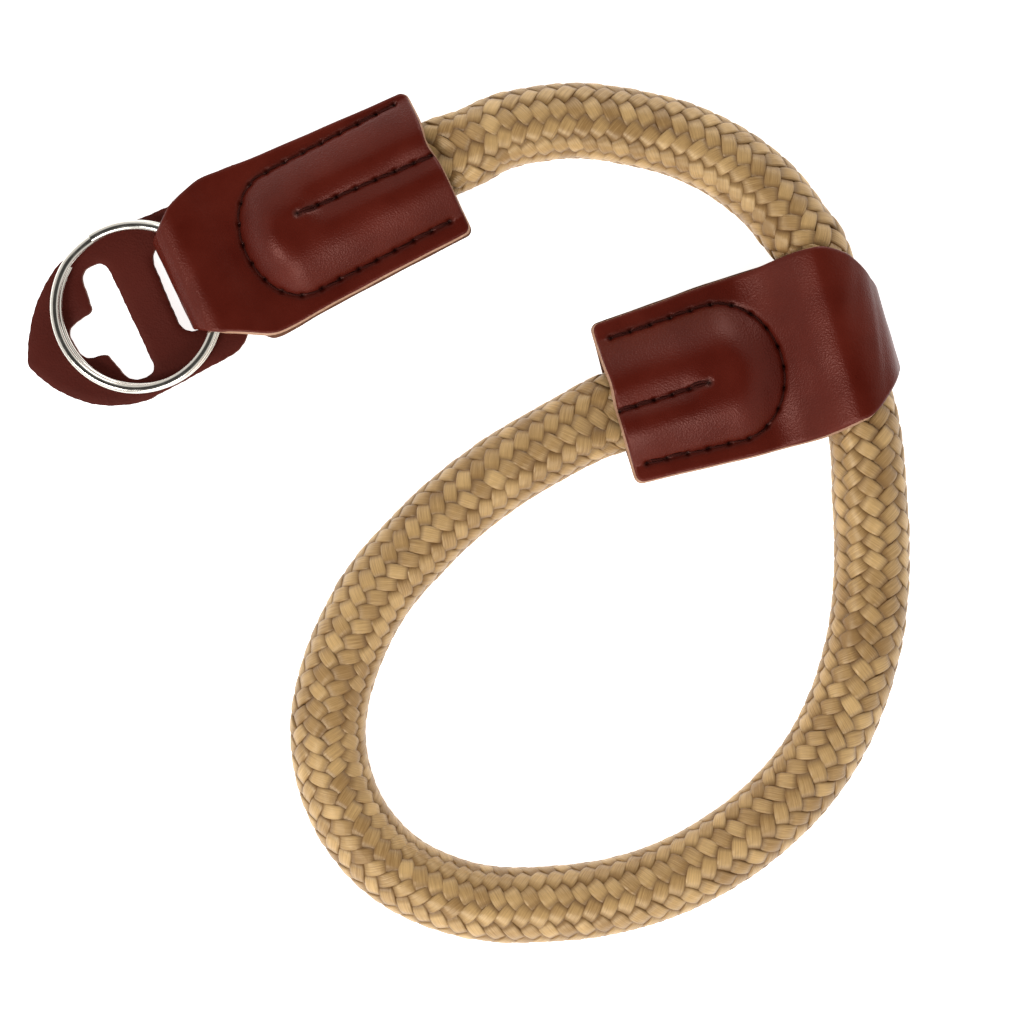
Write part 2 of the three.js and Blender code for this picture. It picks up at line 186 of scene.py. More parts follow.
# Braid: as many yarns run to the left as to the right, each over two and under two.
CARRIERS = 12
LAY_LENGTH = 30.2
LAY_SWING = 0.06
LAY_SWING_LENGTH = 250.0
LAY_SWING_START = 130.0
FLOAT_CROSSINGS = 4
FLOAT_LEAN = 0.22
FLOAT_WIDTH = 2.3
CROSSING_WIDTH = 2.08
UNDER_WIDTH = 1.85
YARN_THICKNESS = 1.1
YARN_TOP_SIDES = 8
YARN_UNDER_SIDES = 4
YARN_SQUARENESS = 4.4
YARN_PER_ROPE = math.sqrt(2)
WEAVE_HEIGHT = 0.66
WEAVE_SHARPNESS = 1.6
# The crest values set painted light and shade on the yarns: full colour on top of each float, painted shade
# towards its ends and sides.
CREST_LOW = 0.73
CREST_HIGH = 0.98
CREST_EDGE_SHADE = 0.6
CREST_EDGE_POWER = 5
STEPS_PER_WAVE = 16
BRAID_TWIST_DEG = 55.0
CORE_RADIUS = 3.4
CORE_SIDES = 16
CORE_STEPS = 240
SQUEEZE = 0.95
SQUEEZE_LENGTH = 20.0
SQUEEZE_FADE = 14.0

# Leather sheets: fineness, rounded edges and raw rims
LAYER_ROWS = 150
LAYER_START = 1.05
FLAT_LAYER = 0.999
FOLD_ROWS = 36
STRIP_COLUMNS = 96
EDGE_COLUMNS = 2
CORNER_ROUND = 1.1
MOUTH_ROWS = (0.0, 0.06, 0.16, 0.3, 0.5, 0.75)
EDGE_SHARES = (1.0, 0.999, 0.993, 0.982)
FOLD_ROUND_FROM = 0.55
UNDER_TURN = 0.5
SWAY_LENGTH = 9.0
EDGE_ROUND = 0.45
EDGE_DROP = 0.22
RIM_ROWS = 4
RIM_ROUGHNESS = 0.035
EDGE_ROW_STEP = 0.3
EDGE_WOBBLE_POWER = 8
RESTING_FADE = 0.8
DENT_SPREAD = 2.2
DENT_LENGTH = 3.0
SHARP_DEG = 50
SKIN_FACE, RIM_FACE, FLESH_FACE = range(3)

# Wobbles along a line: wave lengths and amount
YARN_HEIGHT_WOBBLE = ((9.0, 23.0, 41.0), 0.07)
YARN_COURSE_WOBBLE = ((7.0, 13.0, 31.0), 0.03)
YARN_WIDTH_WOBBLE = ((5.0, 7.0, 17.0), 0.12)
YARN_TONE_WOBBLE = ((5.0, 8.0, 13.0), 0.6)
LOW_EDGE_WOBBLE = ((11.0, 23.0, 37.0), 0.05)
HIGH_EDGE_WOBBLE = ((9.0, 19.0, 41.0), 0.05)
GUARD_EDGE_WOBBLE = ((1.3, 2.9, 6.7), 0.07)

# Wobbles over a plane: usual wave length, number of waves and amount
TAB_WOBBLE = (9.0, 14, 0.06)
GUARD_WOBBLE = (8.0, 10, 0.05)
WAVE_LENGTH_SHARES = (0.7, 1.6)
LAYERS_APART = 40.0

# Stitching
STITCH_PITCH = 3.0
STITCH_OVERRUN = 0.06
THREAD_RADIUS = 0.2
THREAD_SIDES = 8
THREAD_STEPS = 10
THREAD_RISE = 0.06
THREAD_RISE_JITTER = 0.03
THREAD_SINK = 0.5
THREAD_BOW_POWER = 0.6
THREAD_SLANT = 0.18
THREAD_JITTER = 0.09
DOUBLED_STITCHES = 2
DOUBLED_OFFSET = 0.34
SEAM_DEPTH = 0.32
SEAM_SPREAD = 0.55
# Painted shade along the sewn line, as a share of the full painted shade at the holes
SEAM_LINE_SHADE = 0.35
HOLE_DEPTH = 0.35
HOLE_SPREAD = 0.45
HOLE_SHARPNESS = 5
LINE_STEP = 0.1

# Split ring
WIRE_SIDES = 24
COIL_STEP_DEG = 2.0
LOWER_TURN_SHIFT = 0.32
LOWER_TURN_DIRECTION_DEG = 30.0

# Guard
GUARD_POINT_STEP = 0.35
GUARD_FILL_STEP = 0.8
GUARD_WELD = 1e-5

# Looks: colours from dark to light, a noise as scale, detail and roughness, a range as what is used of a
# pattern and what it becomes, the weights of patterns, and a bump as distance and strength
WARM_GLOSS = (1.0, 0.84, 0.62, 1)
YARN_LOOK = Group(
    shader={
        "Specular IOR Level": 0.75,
        "Specular Tint": WARM_GLOSS,
        "Sheen Tint": WARM_GLOSS,
        "Sheen Weight": 0.03,
        "Sheen Roughness": 0.4,
        "Anisotropic": 0.8,
        "Anisotropic Rotation": 0.25,
    },
    fibres=((0.3, 13.0, 1.0), 3.0, 0.65),
    patches=(160.0, 2.0),
    weights=(0.6, 0.25, 0.2),
    tone=(0.35, 0.73),
    colours=((0.288, 0.161, 0.056, 1), (0.64, 0.414, 0.175, 1)),
    # the painted shade colour at the float ends and in the creases
    crease=(0.17, 0.086, 0.029, 1),
    roughness=(0.3, 0.7, 0.43, 0.29),
    bump=(0.00012, 0.6),
)
CORE_LOOK = Group(shader={"Roughness": 0.9}, patterns=((900.0, 3.0),), weights=(1.0,), tone=(0.0, 1.0))
# The core is a darker brown than the yarns: painted shade for the inside of the braid seen between the
# yarns.
CORE_SHADE_COLOURS = ((0.16, 0.085, 0.034, 1), (0.22, 0.12, 0.05, 1))
LEATHER_LOOK = Group(
    shader={"Specular IOR Level": 0.36, "Specular Tint": (1.0, 0.5, 0.42, 1)},
    cells={"Scale": 4000.0, "Smoothness": 0.6},
    fine=(9000.0, 3.0),
    broad=(130.0, 4.0),
    cloud=(45.0, 2.0),
    weights=(0.5, 0.5),
    tone=(0.36, 0.64),
    # near-black painted shade of the needle holes
    hole=(0.006, 0.002, 0.0016, 1),
    gloss=(0.3, 0.7),
    grain_weights=(1.0, 0.35),
    grain_depth=0.00008,
)
SKIN_LOOK = Group(
    colours=((0.066, 0.006, 0.003, 1), (0.1, 0.0112, 0.0056, 1)),
    roughness=(0.27, 0.38),
    grain_strength=0.4,
)
GUARD_LOOK = Group(
    colours=((0.054, 0.005, 0.0027, 1), (0.076, 0.0082, 0.0045, 1)),
    roughness=(0.55, 0.7),
    grain_strength=0.5,
)
RAW_LOOK = Group(
    shader={"Roughness": 0.9, "Specular IOR Level": 0.2},
    patterns=((2600.0, 4.0, 0.7), (330.0, 3.0)),
    weights=(0.6, 0.4),
    tone=(0.36, 0.64),
    bump=(0.0002, 0.6),
)
TAN_EDGE_COLOURS = ((0.33, 0.17, 0.1, 1), (0.5, 0.31, 0.21, 1))
BROWN_EDGE_COLOURS = ((0.07, 0.018, 0.011, 1), (0.2, 0.075, 0.042, 1))
FLESH_COLOURS = ((0.1, 0.04, 0.022, 1), (0.2, 0.09, 0.05, 1))
THREAD_LOOK = Group(
    shader={"Roughness": 0.75, "Specular IOR Level": 0.06},
    stretch=(1.6, 3.0, 1.0),
    colours=((0.026, 0.0046, 0.0032, 1), (0.056, 0.0105, 0.0072, 1)),
    bump=(0.00008, 0.5),
)
METAL_LOOK = Group(
    shader={"Metallic": 1.0},
    patterns=(((400.0, 400.0, 4000.0), 4.0), (300.0, 3.0)),
    weights=(0.0, 1.0),
    tone=(0.0, 1.0),
    roughness=(0.3, 0.7, 0.1, 0.24),
    bump=(0.00002, 0.15),
)
METAL_COLOURS = ((0.66, 0.62, 0.55, 1), (0.84, 0.81, 0.74, 1))
FLOOR_LOOK = Group(
    shader={"Roughness": 0.8, "Emission Color": (1, 1, 1, 1), "Emission Strength": 0.85},
    patterns=((30.0, 3.0),),
    weights=(1.0,),
    tone=(0.0, 1.0),
)
FLOOR_COLOURS = ((0.90, 0.90, 0.90, 1), (0.93, 0.93, 0.93, 1))

# Stage, with the camera above the middle of the picture. A softbox holds its place, size and power.
CAMERA_PLACE = (0.00636, 0.00007, 0.505)
CAMERA_LENS = 121.64
CAMERA_SENSOR = 36.0
CAMERA_CLIP_START = 0.01
FLOOR_HALF = 1500.0
FLOOR_HEIGHT = -0.15
SKY_COLOUR = (1.0, 0.985, 0.96, 1)
SKY_RANGE = (0.66, 0.87, 0.84, 0.05)
SOFTBOXES = {
    "front_softbox": ((0.02, -0.47, 0.3), 0.3, 1.22),
    "left_softbox": ((-0.31, -0.25, 0.4), 0.2, 1.2),
    "back_softbox": ((0.12, 0.5, 0.19), 0.3, 0.7),
}

random = np.random.default_rng(11)


def smoothstep(x, low, high):
    share = np.clip((np.asarray(x, float) - low) / (high - low), 0, 1)
    return share * share * (3 - 2 * share)


def unit(vectors):
    return vectors / np.linalg.norm(vectors, axis=-1, keepdims=True)


def wander(places, lengths, amount):
    """A seeded wobble along a line, made of waves of the given lengths."""
    total = np.zeros_like(places, float)
    for length in lengths:
        total += np.sin(math.tau * places / length + random.uniform(0, math.tau))
    return total * amount / len(lengths)


def wander_plane(x, y, length, waves, amount):
    """A smooth seeded wobble over a plane."""
    total = np.zeros_like(x, float)
    for _ in range(waves):
        turn = random.uniform(0, math.tau)
        pace = math.tau / (length * random.uniform(*WAVE_LENGTH_SHARES))
        start = random.uniform(0, math.tau)
        total += np.sin(pace * (x * math.cos(turn) + y * math.sin(turn)) + start)
    return total * amount / math.sqrt(waves)


def line_lengths(line):
    return np.concatenate([[0], np.cumsum(np.linalg.norm(np.diff(line, axis=0), axis=1))])


def read_line(place, lengths, points):
    """The points of a line at places along it."""
    return np.stack([np.interp(place, lengths, column) for column in points.T], -1)


def grid_quads(rows, columns, closed=False):
    """The quads between the points of a grid. A closed grid joins its last column to its first."""
    across = columns if closed else columns - 1
    i, j = np.meshgrid(np.arange(rows - 1), np.arange(across), indexing="ij")
    k = (j + 1) % columns
    corners = [i * columns + j, i * columns + k, (i + 1) * columns + k, (i + 1) * columns + j]
    return np.stack(corners, -1).reshape(-1, 4)


def place_in_scene(name, data, place=(0, 0, 0)):
    made = bpy.data.objects.new(name, data)
    made.location = place
    bpy.context.scene.collection.objects.link(made)
    return made


def mesh_object(name, points, faces, materials, face_materials=None, sharp_deg=None):
    """A smooth-shaded mesh from points in millimetres."""
    mesh = bpy.data.meshes.new(name)
    mesh.from_pydata((np.asarray(points) * MM).tolist(), [], [list(face) for face in faces])
    for material in materials:
        mesh.materials.append(material)
    mesh.shade_smooth()
    if face_materials is not None:
        mesh.polygons.foreach_set("material_index", np.asarray(face_materials, np.int32))
    if sharp_deg is not None:
        mesh.set_sharp_from_angle(angle=math.radians(sharp_deg))
    mesh.update()
    return place_in_scene(name, mesh)


def add_point_values(mesh, name, values):
    layer = mesh.attributes.new(name, "FLOAT", "POINT")
    layer.data.foreach_set("value", np.asarray(values, np.float32).ravel())


def add_uv(mesh, name, values):
    """A UV map with the same value at every corner of a point."""
    corner_points = np.empty(len(mesh.loops), np.int32)
    mesh.loops.foreach_get("vertex_index", corner_points)
    layer = mesh.uv_layers.new(name=name)
    layer.data.foreach_set("uv", np.asarray(values, np.float32)[corner_points].ravel())


def full_turn(sides):
    return np.arange(sides) * math.tau / sides


def superellipse(half_width, half_height, turn, squareness=2.0):
    circle = np.stack([np.cos(turn), np.sin(turn)], -1)
    return np.sign(circle) * np.abs(circle) ** (2 / squareness) * (half_width, half_height)


def sweep(centres, across, lift, profile):
    """Points of a closed profile carried along lines: centres, across and lift end in (steps, 3)."""
    x = profile[..., 0, None]
    y = profile[..., 1, None]
    return centres[..., None, :] + across[..., None, :] * x + lift[..., None, :] * y


def tube_faces(tubes, steps, sides):
    """Sides and end caps of equal tubes whose points follow one another."""
    quads = grid_quads(steps, sides, closed=True)
    caps = np.stack([np.arange(sides)[::-1], np.arange(sides) + (steps - 1) * sides])
    faces = []
    for start in np.arange(tubes) * steps * sides:
        faces += (quads + start).tolist() + (caps + start).tolist()
    return faces


def tab_matrix(tab):
    """The tab's own frame in the frame of the whole strap, in millimetres."""
    turn = Matrix.Rotation(math.radians(tab.heading), 4, "Z")
    return Matrix.Translation((*tab.mouth, 0)) @ turn


def moved(points, matrix):
    matrix = np.array(matrix)
    return points @ matrix[:3, :3].T + matrix[:3, 3]


def ring_frame():
    """The frame at the ring tab's fold that slopes down to the guard's tip."""
    end, _, fold_radius, _ = RING_TAB.sections[-1]
    slope = Matrix.Rotation(math.asin(GUARD_LIFT / GUARD_SLOPE_LENGTH), 4, "Y")
    edge = Matrix.Translation((end + fold_radius + LEATHER / 2, 0, GUARD_LIFT))
    return tab_matrix(RING_TAB) @ edge @ slope


def seam_half(seam, along):
    return seam.half + seam.spread * np.minimum(along, seam.straight)


def line_side(line, along):
    """Where a seam or groove runs across the tab."""
    return line.side + line.drift * along


def depth_in_seam(seam, along, side):
    past = np.maximum(along - seam.straight, 0) / (seam.apex - seam.straight)
    half = seam_half(seam, along)
    return (1 - np.hypot(past, (side - line_side(seam, along)) / half)) * half


def groove_share(groove, along, side):
    across = np.exp(-((side - line_side(groove, along)) ** 2) / (2 * GROOVE_SPREAD**2))
    return across * (1 - smoothstep(along, groove.end - GROOVE_FADE, groove.end))


def dome_height(tab, along, side, layer):
    depth = depth_in_seam(tab.seam, along, side)
    inside = np.minimum((depth + np.hypot(depth, 2 * DOME_FILLET)) / 2 / DOME_RAMP, 1)
    dome = np.where(layer > 0, SEWN_DOME, RESTING_DOME) * np.sin(inside * math.pi / 2)
    groove = np.where(layer > 0, GROOVE_DEPTH * groove_share(tab.groove, along, side), 0)
    return dome - np.minimum(groove, dome)


def cubic_piece(start, end, leave, arrive, share):
    """A curve from start to end that leaves and arrives with the given slopes."""
    rise = end - start
    cubic = leave + arrive - 2 * rise
    square = 3 * rise - 2 * leave - arrive
    return start + share * (leave + share * (square + share * cubic))


def read_sections(sections, along):
    """Smooth values between the rows of a table."""
    table = np.array(sections)
    places = table[:, 0]
    slopes = np.gradient(table[:, 1:], places, axis=0)
    row = np.clip(np.searchsorted(places, along, side="right") - 1, 0, len(places) - 2)
    span = places[row + 1] - places[row]
    share = ((along - places[row]) / span)[:, None]
    leave = slopes[row] * span[:, None]
    arrive = slopes[row + 1] * span[:, None]
    return cubic_piece(table[row, 1:], table[row + 1, 1:], leave, arrive, share)


def fold_half(shoulder, side, turn, slot):
    """Half width on one side of the strip where it bends over. Below, it narrows to pass a slot."""
    forward = np.cos(turn)
    rounding = side.round * np.maximum(forward - FOLD_ROUND_FROM, 0) ** 2
    half = shoulder - side.drop * forward ** side.corner - rounding
    if slot == 0:
        return half
    front = shoulder - side.drop
    under = front + (side.under - front) * smoothstep(-turn, 0, UNDER_TURN)
    return np.where(turn < 0, under, half)


def strip_stations(tab):
    """Each row of the folded strip, from the upper mouth to the lower one."""
    end, fold_middle, fold_radius, shoulder = tab.sections[-1]
    along = np.concatenate([MOUTH_ROWS, np.linspace(LAYER_START, end, LAYER_ROWS)])
    middle, opened, half = read_sections(tab.sections, along).T
    inside = np.maximum(CORNER_ROUND - along, 0)
    half = half - CORNER_ROUND + np.sqrt(CORNER_ROUND**2 - inside**2)
    turn = math.pi * (0.5 - np.arange(1, FOLD_ROWS) / FOLD_ROWS)
    fold_height = fold_middle + fold_radius * np.sin(turn)
    narrowed = smoothstep(along, end - tab.slot, end) if tab.slot > 0 else np.zeros_like(along)
    places = np.concatenate([along, end + fold_radius * np.cos(turn), along[::-1]])
    stations = {
        "along": places,
        "height": np.concatenate([middle + opened, fold_height, (middle - opened)[::-1]]),
        "layer": np.concatenate([np.ones_like(along), np.sin(turn), -np.ones_like(along)]),
        "sway": tab.sway * smoothstep(places, end - SWAY_LENGTH, end),
    }
    for name in ("low", "high"):
        side = getattr(tab, "fold_" + name)
        below = half + (side.under - half) * narrowed
        folded = fold_half(shoulder, side, turn, tab.slot)
        stations[name] = np.concatenate([half, folded, below[::-1]])
    return stations


def u_line(tab):
    """The sewn U in the tab's frame, from one side of the mouth round the nose to the other."""
    seam = tab.seam
    run = np.arange(seam.start, seam.straight, LINE_STEP)
    nose = seam.apex - seam.straight
    turn = np.linspace(-math.pi / 2, math.pi / 2, round(math.pi * seam.half / LINE_STEP))
    along = np.concatenate([run, seam.straight + nose * np.cos(turn), run[::-1]])
    sign = np.concatenate([-np.ones_like(run), np.sin(turn), np.ones_like(run)])
    return np.stack([along, line_side(seam, along) + sign * seam_half(seam, along)], -1)


def centre_line(tab):
    groove = tab.groove
    along = np.arange(groove.start, groove.end, LINE_STEP)
    return np.stack([along, line_side(groove, along)], -1)


def stitch_places(line):
    """Lengths along a seam and the even distance between its holes."""
    lengths = line_lengths(line)
    return lengths, lengths[-1] / round(lengths[-1] / STITCH_PITCH)


def seam_relief(tab, along, side):
    """How far the thread pulls the leather in near each seam, and how much painted shade goes into the
    needle holes and along the sewn line.
    """
    dent = np.zeros_like(along)
    dark = np.zeros_like(along)
    for line in (u_line(tab), centre_line(tab)):
        lengths, pitch = stitch_places(line)
        for row in range(len(along)):
            gaps = np.hypot(along[row][:, None] - line[:, 0], side[row][:, None] - line[:, 1])
            nearest = gaps.argmin(1)
            gap = gaps[np.arange(len(nearest)), nearest]
            beat = (0.5 + 0.5 * np.cos(math.tau * lengths[nearest] / pitch)) ** HOLE_SHARPNESS
            near_hole = np.exp(-((gap / HOLE_SPREAD) ** 2))
            dent[row] += SEAM_DEPTH * np.exp(-((gap / SEAM_SPREAD) ** 2))
            dent[row] += HOLE_DEPTH * beat * near_hole
            # painted shade: some along the line, full at each hole
            dark[row] += (SEAM_LINE_SHADE + (1 - SEAM_LINE_SHADE) * beat) * near_hole
    return dent, np.minimum(dark, 1)


def even_mouth_normals(normal, side):
    """Gives the rounded rows at both mouths the normals of the first full row."""
    full = len(MOUTH_ROWS) + 1
    for row in range(full):
        for own, pattern in ((row, full), (-1 - row, -1 - full)):
            normal[own] = unit(read_line(side[own], side[pattern], normal[pattern]))


def tab_surface(tab):
    """Outer and inner points of the folded leather in the tab's frame."""
    stations = strip_stations(tab)
    even = np.linspace(-1, 1, STRIP_COLUMNS + 1)[EDGE_COLUMNS:-EDGE_COLUMNS]
    edges = np.array(EDGE_SHARES)
    share = np.sort(np.concatenate([-edges, edges, even]))
    along, layer = (np.repeat(stations[name][:, None], len(share), 1) for name in ("along", "layer"))
    half = np.where(share < 0, stations["low"][:, None], stations["high"][:, None])
    side = half * share + stations["sway"][:, None]
    edge_place = np.arange(len(half)) * EDGE_ROW_STEP
    low_edge = wander(edge_place, *LOW_EDGE_WOBBLE)
    high_edge = wander(edge_place, *HIGH_EDGE_WOBBLE)
    edge = np.where(share < 0, low_edge[:, None], high_edge[:, None]) * np.abs(share) ** EDGE_WOBBLE_POWER
    dome = dome_height(tab, along, side, layer)
    height = np.maximum(stations["height"][:, None] + np.sign(layer) * dome, LEATHER / 2)
    shift = tab.layer_shift * (1 - layer) / 2
    flat = np.abs(layer) > FLAT_LAYER
    dent = tab.mouth_dent
    dented = dent.depth * np.exp(-(((side - dent.side) / DENT_SPREAD) ** 2)) * (layer > 0)
    pulled = dented * (1 - smoothstep(along, 0, DENT_LENGTH)) * flat
    middle = np.stack([along + pulled, side + shift + edge, height], -1)
    normal = unit(np.cross(*np.gradient(middle, axis=(0, 1))))
    even_mouth_normals(normal, side)
    relief, dark = seam_relief(tab, along, side)
    wave = wander_plane(along, side + LAYERS_APART * layer, *TAB_WOBBLE)
    to_side = half * (1 - np.abs(share))
    to_edge = np.where(flat, np.minimum(to_side, along), to_side)
    drop = EDGE_DROP * np.clip(1 - to_edge / EDGE_ROUND, 0, 1) ** 2
    resting = np.clip((middle[..., 2] - LEATHER / 2) / RESTING_FADE, 0, 1)
    lift = LEATHER / 2 - drop + (wave - relief * flat) * np.where(layer < 0, resting, 1)
    outer = middle + normal * lift[..., None]
    inner = middle - normal * (LEATHER / 2 - drop / 2)[..., None]
    bevel = tab.bevel
    outer[..., 1] += np.where(share < 0, bevel.low, -bevel.high) * np.abs(share)
    outer[..., 0] += bevel.mouth * np.clip(1 - along / DENT_LENGTH, 0, 1) * flat
    return {
        "outer": outer,
        "inner": inner,
        "normal": normal,
        "share": share,
        "stations": stations,
        "dark": dark * flat,
    }


def surface_place(surface, along, side, layer):
    """Points and normals of the outer leather at places of the upper (1) or lower (-1) layer."""
    stations = surface["stations"]
    shares = surface["share"]
    count = len(MOUTH_ROWS) + LAYER_ROWS
    rows = np.arange(count)
    if layer < 0:
        rows = len(stations["along"]) - 1 - rows
    places = stations["along"][rows]
    low, high, sway = (np.interp(along, places, stations[name][rows]) for name in ("low", "high", "sway"))
    row = np.interp(along, places, np.arange(count))
    aside = side - sway
    column = np.interp(aside / np.where(aside < 0, low, high), shares, np.arange(len(shares)))
    row_low = np.clip(row.astype(int), 0, count - 2)
    column_low = np.clip(column.astype(int), 0, len(shares) - 2)
    row_share = (row - row_low)[:, None]
    column_share = (column - column_low)[:, None]

    def read_row(values, number):
        start = values[rows[number], column_low]
        end = values[rows[number], column_low + 1]
        return start * (1 - column_share) + end * column_share

    def read(values):
        return read_row(values, row_low) * (1 - row_share) + read_row(values, row_low + 1) * row_share

    return read(surface["outer"]), unit(read(surface["normal"]))


def leather_tab(name, tab, surface, materials):
    """The folded strip: outer skin, flesh side and the raw rim that joins them."""
    rows, columns = surface["outer"].shape[:2]
    count = rows * columns
    outer = surface["outer"].reshape(-1, 3)
    inner = surface["inner"].reshape(-1, 3)
    index = np.arange(count).reshape(rows, columns)
    border = np.concatenate([index[0, :-1], index[:-1, -1], index[-1, :0:-1], index[:0:-1, 0]])
    steps = np.arange(1, RIM_ROWS) / RIM_ROWS
    between = outer[border] + steps[:, None, None] * (inner[border] - outer[border])
    away = unit(outer[border] - np.roll(outer[border], 1, axis=0))
    rim_out = unit(np.cross(away, unit(inner[border] - outer[border])))
    rough = random.normal(0, RIM_ROUGHNESS, between.shape[:2]) + RIM_ROUGHNESS
    between = between - rim_out * rough[..., None]
    points = np.concatenate([outer, inner, between.reshape(-1, 3)])
    quads = grid_quads(rows, columns)
    around = len(border)
    between_index = 2 * count + np.arange((RIM_ROWS - 1) * around).reshape(-1, around)
    rim_index = np.concatenate([border[None], between_index, count + border[None]])
    rim_quads = rim_index.ravel()[grid_quads(RIM_ROWS + 1, around, closed=True)]
    faces = np.concatenate([quads, quads[:, ::-1] + count, rim_quads[:, ::-1]])
    kinds = np.repeat((SKIN_FACE, FLESH_FACE, RIM_FACE), (len(quads), len(quads), len(rim_quads)))
    made = mesh_object(name, moved(points, tab_matrix(tab)), faces, materials, kinds, SHARP_DEG)
    plain = np.zeros(len(points) - count)
    # the painted shade of holes and seams goes to the skin points
    add_point_values(made.data, "seam", np.concatenate([surface["dark"].ravel(), plain]))
    return made


def stitch_tubes(surface, line, layer):
    """One bowed thread from each hole to the next, with the first and last stitches sewn twice."""
    lengths, pitch = stitch_places(line)
    last = round(lengths[-1] / pitch)
    step = np.linspace(-STITCH_OVERRUN, 1 + STITCH_OVERRUN, THREAD_STEPS)
    bow = np.sin(np.clip(step, 0, 1) * math.pi) ** THREAD_BOW_POWER
    tubes = []
    for number in range(last):
        doubled = number < DOUBLED_STITCHES or number >= last - DOUBLED_STITCHES
        for offset in (0, DOUBLED_OFFSET) if doubled else (0,):
            along, side = read_line((number + step) * pitch, lengths, line).T
            heading = unit(np.stack([np.gradient(along), np.gradient(side)], -1))
            tilt = THREAD_SLANT + random.normal(0, THREAD_JITTER)
            slant = (0.5 - step) * 2 * tilt + offset + random.normal(0, THREAD_JITTER)
            along = along - heading[:, 1] * slant
            side = side + heading[:, 0] * slant
            points, normals = surface_place(surface, along, side, layer)
            rise = THREAD_RISE + random.normal(0, THREAD_RISE_JITTER)
            tubes.append(points + normals * (-THREAD_SINK + (THREAD_SINK + rise) * bow)[:, None])
    return np.array(tubes)


def stitches(name, tab, surface, material):
    """All the thread of a tab on its upper and lower face, as one mesh."""
    lines = (u_line(tab), centre_line(tab))
    centres = np.concatenate([stitch_tubes(surface, line, layer) for line in lines for layer in (1, -1)])
    tangent = unit(np.gradient(centres, axis=1))
    across = unit(np.cross(tangent, UP))
    lift = np.cross(across, tangent)
    profile = superellipse(THREAD_RADIUS, THREAD_RADIUS, full_turn(THREAD_SIDES))
    points = sweep(centres, across, lift, profile)
    points[..., 2] = np.maximum(points[..., 2], 0)
    faces = tube_faces(len(centres), THREAD_STEPS, THREAD_SIDES)
    made = mesh_object(name, moved(points.reshape(-1, 3), tab_matrix(tab)), faces, [material])
    place = np.cumsum(np.linalg.norm(np.gradient(centres, axis=1), axis=-1), axis=1)
    turn = np.arange(THREAD_SIDES) / THREAD_SIDES
    uv = np.stack(np.broadcast_arrays(place[..., None], turn), -1)
    add_uv(made.data, "thread", uv.reshape(-1, 2))
    return made


def pocket_points(tab):
    local = [(tab.rope_end * share, tab.rope_side, POCKET_ROPE_HEIGHT) for share in POCKET_SHARES]
    return moved(np.array(local), tab_matrix(tab))


def rope_path():
    """A smooth line through the pockets and the route, and the even steps along it."""
    route = np.array(ROUTE) / MM
    points = np.concatenate([pocket_points(RING_TAB), route, pocket_points(SLIDER_TAB)[::-1]])
    before = 2 * points[0] - points[1]
    after = 2 * points[-1] - points[-2]
    ends = np.concatenate([[before], points, [after]])
    spans = np.sqrt(np.linalg.norm(np.diff(ends, axis=0), axis=1))
    share = np.linspace(0, 1, ROUTE_FINENESS, endpoint=False)[:, None]
    pieces = []
    for i in range(len(points) - 1):
        a, b, c, d = ends[i : i + 4]
        first, second, third = spans[i : i + 3]
        start = ((b - a) / first - (c - a) / (first + second) + (c - b) / second) * second
        end = ((c - b) / second - (d - b) / (second + third) + (d - c) / third) * second
        pieces.append(cubic_piece(b, c, start, end, share))
    line = np.concatenate([*pieces, points[-1:]])
    lengths = line_lengths(line)
    even = np.arange(0, lengths[-1], ROUTE_STEP)
    return read_line(even, lengths, line), even


def path_frames(line, even, place):
    """Centre, sideways and upward direction of the rope at places along it."""
    tangent = unit(np.gradient(line, axis=0))
    sideways = unit(np.cross(tangent, UP))
    upwards = np.cross(sideways, tangent)
    centre, sideways, upwards = (read_line(place, even, values) for values in (line, sideways, upwards))
    return centre, unit(sideways), unit(upwards)


def press_end(points, tab):
    """Presses the rope's end in a tab flat, with the groove of the centre seam."""
    tab_frame = tab_matrix(tab)
    local = moved(points, tab_frame.inverted())
    along, side = local[:, :2].T
    inside = (along > -PRESS_LENGTH) & (along < tab.rope_end + PRESS_PAST_END)
    reach = inside & (np.abs(side) < ROPE_DIAMETER)
    x, y, z = local[reach].T
    pressed = smoothstep(x, -PRESS_LENGTH, 0)
    sideways = y - tab.rope_side
    upwards = z - POCKET_ROPE_HEIGHT
    groove = np.where(upwards > 0, ROPE_GROOVE_DEPTH * groove_share(tab.groove, x, y), 0) * pressed
    groove = groove * np.clip(upwards / POCKET_HALF_HEIGHT, 0, 1)
    y = tab.rope_side + sideways * (1 + (POCKET_HALF_WIDTH / ROPE_ROUND - 1) * pressed)
    z = POCKET_ROPE_HEIGHT + upwards * (1 + (POCKET_HALF_HEIGHT / ROPE_ROUND - 1) * pressed) - groove
    local[reach] = np.stack([x, y, z], -1)
    return moved(local, tab_frame)


def press_rope(points):
    return press_end(press_end(points.reshape(-1, 3), RING_TAB), SLIDER_TAB)


def squeeze_share(place, line, even):
    """How much thinner the rope is where the slider tab's fold holds it."""
    fold = np.array([[SLIDER_TAB.sections[-1][0], 0, ROPE_FOLD]])
    middle = even[np.linalg.norm(line - moved(fold, tab_matrix(SLIDER_TAB)), axis=1).argmin()]
    far = np.abs(place - middle)
    free = smoothstep(far, SQUEEZE_LENGTH - SQUEEZE_FADE / 2, SQUEEZE_LENGTH + SQUEEZE_FADE / 2)
    return 1 - (1 - SQUEEZE) * (1 - free)


def lay_turns(place):
    """Turns of a yarn round the rope at places along it. The braid is slightly longer in some stretches."""
    swing = LAY_SWING * LAY_SWING_LENGTH / math.tau
    return (place - swing * np.sin(math.tau * (place - LAY_SWING_START) / LAY_SWING_LENGTH)) / LAY_LENGTH


